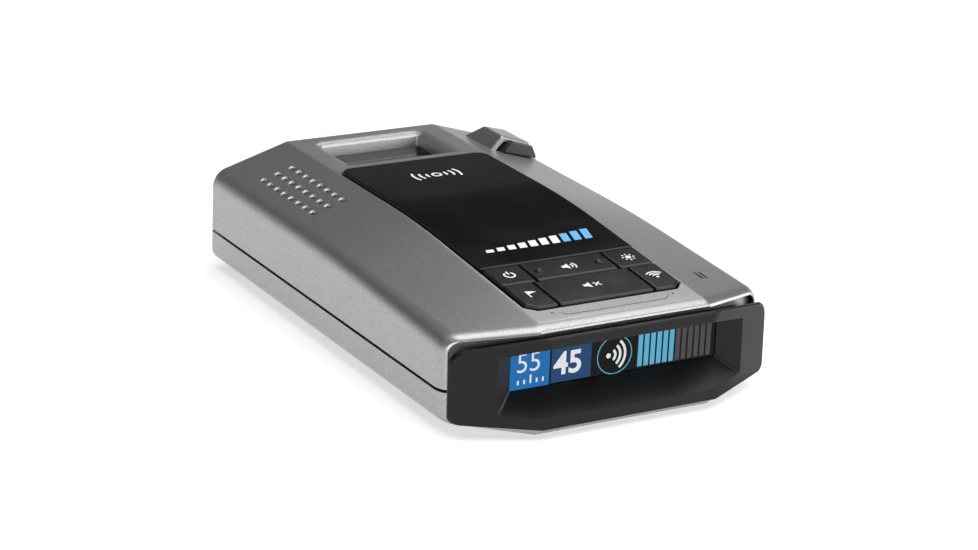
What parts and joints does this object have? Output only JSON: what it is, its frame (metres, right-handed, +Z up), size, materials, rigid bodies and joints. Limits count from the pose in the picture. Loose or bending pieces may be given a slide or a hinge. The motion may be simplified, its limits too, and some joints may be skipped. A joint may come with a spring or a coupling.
{
  "type": "radar detector",
  "caption": "Windshield radar detector: faceted metallic case, proud black bezel with a recessed display, sprung keypad, mount pocket, rear sensor hood.",
  "frame": {"origin": "centre of the bounding box, at the underside that the detector rests on", "axes": "+Y towards the windshield end, -Y out of the display, +X towards the jack side, +Z up through the keypad"},
  "size_m": [0.084, 0.1332, 0.0323],
  "materials": {
    "case_paint": "moulded plastic with satin metallic paint, warm grey, fine flake",
    "bezel_plastic": "satin black moulding",
    "panel_gloss": "gloss black",
    "key_plastic": "satin black",
    "pocket_plastic": "polished black moulding",
    "window_glass": "clear window",
    "screen": "black display face",
    "smoked_plastic": "smoked infrared-clear plastic",
    "sensor_lens": "deep red lens",
    "inner_plastic": "moulded black",
    "circuit_board": "green solder mask",
    "flex_film": "amber film",
    "bright_metal": "plated sheet",
    "cast_metal": "as cast",
    "patch_ceramic": "sintered, matt",
    "foam": "closed-cell foam",
    "speaker_cone": "treated paper",
    "switch_metal": "stamped",
    "screw_steel": "black oxide",
    "jack_plastic": "moulded black",
    "light_guide": "clear acrylic",
    "white_ink": "printed white",
    "pale_blue_ink": "printed pale blue",
    "display_light": "lit display segments",
    "contact_gold": "gold-plated contacts"
  },
  "bodies": {
    "case": {"upper_case": "case_paint", "lower_case": "case_paint", "front_bezel": "bezel_plastic", "display_window": "window_glass", "display_module": "screen", "display_holder": "inner_plastic", "display_board": "circuit_board", "display_flex_cable": "flex_film", "top_panel": "panel_gloss", "keypad_frame": "inner_plastic", "keypad_board": "circuit_board", "keypad_flex_cable": "flex_film", "mount_bracket": "pocket_plastic", "mount_magnet_left": "bright_metal", "mount_magnet_right": "bright_metal", "horn_antenna": "cast_metal", "microwave_board": "circuit_board", "microwave_shield": "bright_metal", "end_window": "smoked_plastic", "front_laser_lens": "sensor_lens", "front_laser_sensor": "inner_plastic", "rear_laser_lens": "smoked_plastic", "rear_laser_sensor": "inner_plastic", "speaker_gasket": "foam", "speaker": "speaker_cone", "main_board": "circuit_board", "processor_shield": "bright_metal", "wireless_module": "bright_metal", "supply_capacitor": "inner_plastic", "gps_board": "circuit_board", "gps_antenna": "patch_ceramic", "power_jack": "jack_plastic", "earphone_jack": "jack_plastic", "usb_port": "bright_metal", "light_sensor": "inner_plastic", "light_pipe": "light_guide", "power_switch": "switch_metal", "volume_down_switch": "switch_metal", "volume_up_switch": "switch_metal", "brightness_switch": "switch_metal", "mark_switch": "switch_metal", "mute_switch": "switch_metal", "sensitivity_switch": "switch_metal", "case_screw_1": "screw_steel", "case_screw_2": "screw_steel", "case_screw_3": "screw_steel", "case_screw_4": "screw_steel"},
    "power_key": {"power_key": "key_plastic"},
    "volume_rocker": {"volume_rocker": "key_plastic"},
    "brightness_key": {"brightness_key": "key_plastic"},
    "mark_key": {"mark_key": "key_plastic"},
    "mute_key": {"mute_key": "key_plastic"},
    "sensitivity_key": {"sensitivity_key": "key_plastic"}
  },
  "joints": [
    {"name": "power_press", "type": "slide", "parent": "case", "child": "power_key", "axis": [0, 0.0946, -0.9955], "range_m": [0, 0.0005], "stiffness_N_per_m": 1500},
    {"name": "volume_rock", "type": "hinge", "parent": "case", "child": "volume_rocker", "pos_m": [0, -0.03722, 0.02554], "axis": [0, 0.9955, 0.0946], "range_deg": [-2.2, 2.2], "stiffness_Nm_per_rad": 0.3},
    {"name": "brightness_press", "type": "slide", "parent": "case", "child": "brightness_key", "axis": [0, 0.0946, -0.9955], "range_m": [0, 0.0005], "stiffness_N_per_m": 1500},
    {"name": "mark_press", "type": "slide", "parent": "case", "child": "mark_key", "axis": [0, 0.0946, -0.9955], "range_m": [0, 0.0005], "stiffness_N_per_m": 1500},
    {"name": "mute_press", "type": "slide", "parent": "case", "child": "mute_key", "axis": [0, 0.0946, -0.9955], "range_m": [0, 0.0005], "stiffness_N_per_m": 1500},
    {"name": "sensitivity_press", "type": "slide", "parent": "case", "child": "sensitivity_key", "axis": [0, 0.0946, -0.9955], "range_m": [0, 0.0005], "stiffness_N_per_m": 1500}
  ]
}
